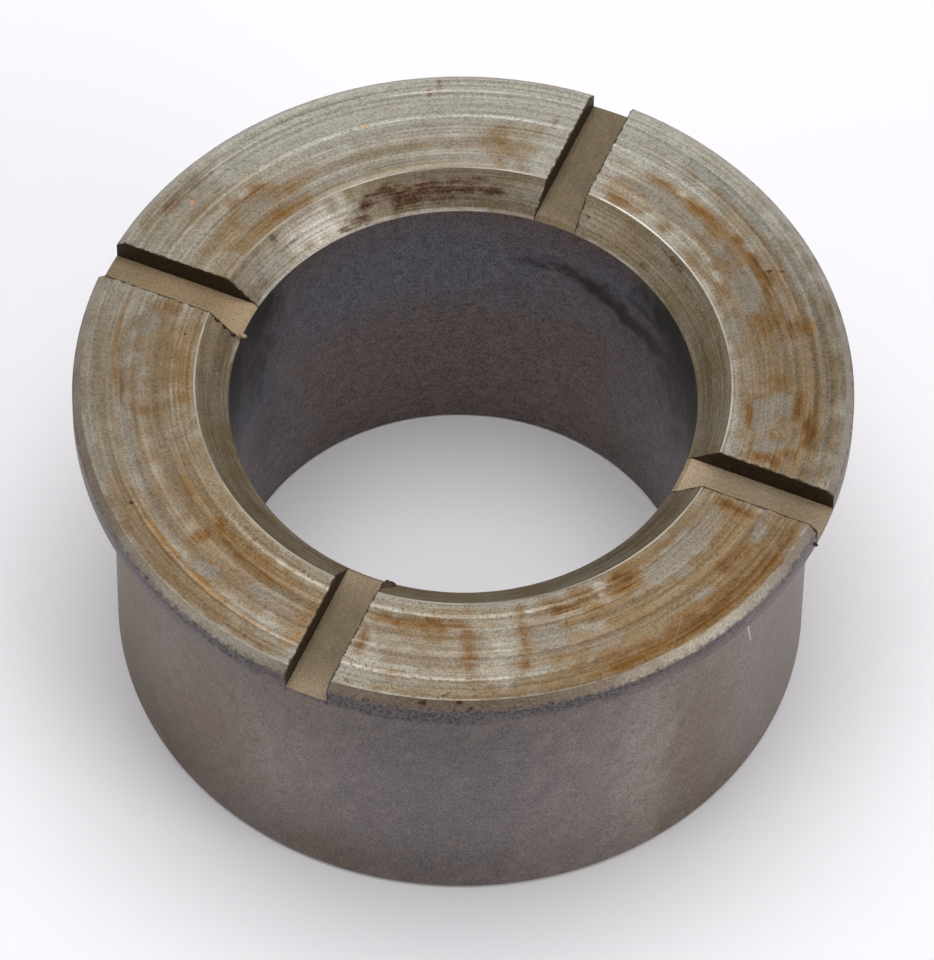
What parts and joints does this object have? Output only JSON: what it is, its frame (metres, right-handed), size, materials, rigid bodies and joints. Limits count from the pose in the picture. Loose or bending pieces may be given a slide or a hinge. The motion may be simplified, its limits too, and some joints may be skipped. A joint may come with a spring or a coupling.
{
  "type": "flanged countershaft bushing",
  "caption": "Flanged steel sleeve bushing for a countershaft, with a countersunk bore and radial oil slots across the thrust face.",
  "frame": {"origin": "centre of the bore on the plane of the tail end", "axes": "+Z along the bore from the tail end to the slotted thrust face; X and Y midway between the oil slots"},
  "size_m": [0.0318, 0.0318, 0.0157],
  "materials": {
    "turned_steel": "turned face with fine rings and light rust staining, matte brown-grey sleeve"
  },
  "bodies": {
    "root": {"bushing": "turned_steel"}
  },
  "joints": []
}
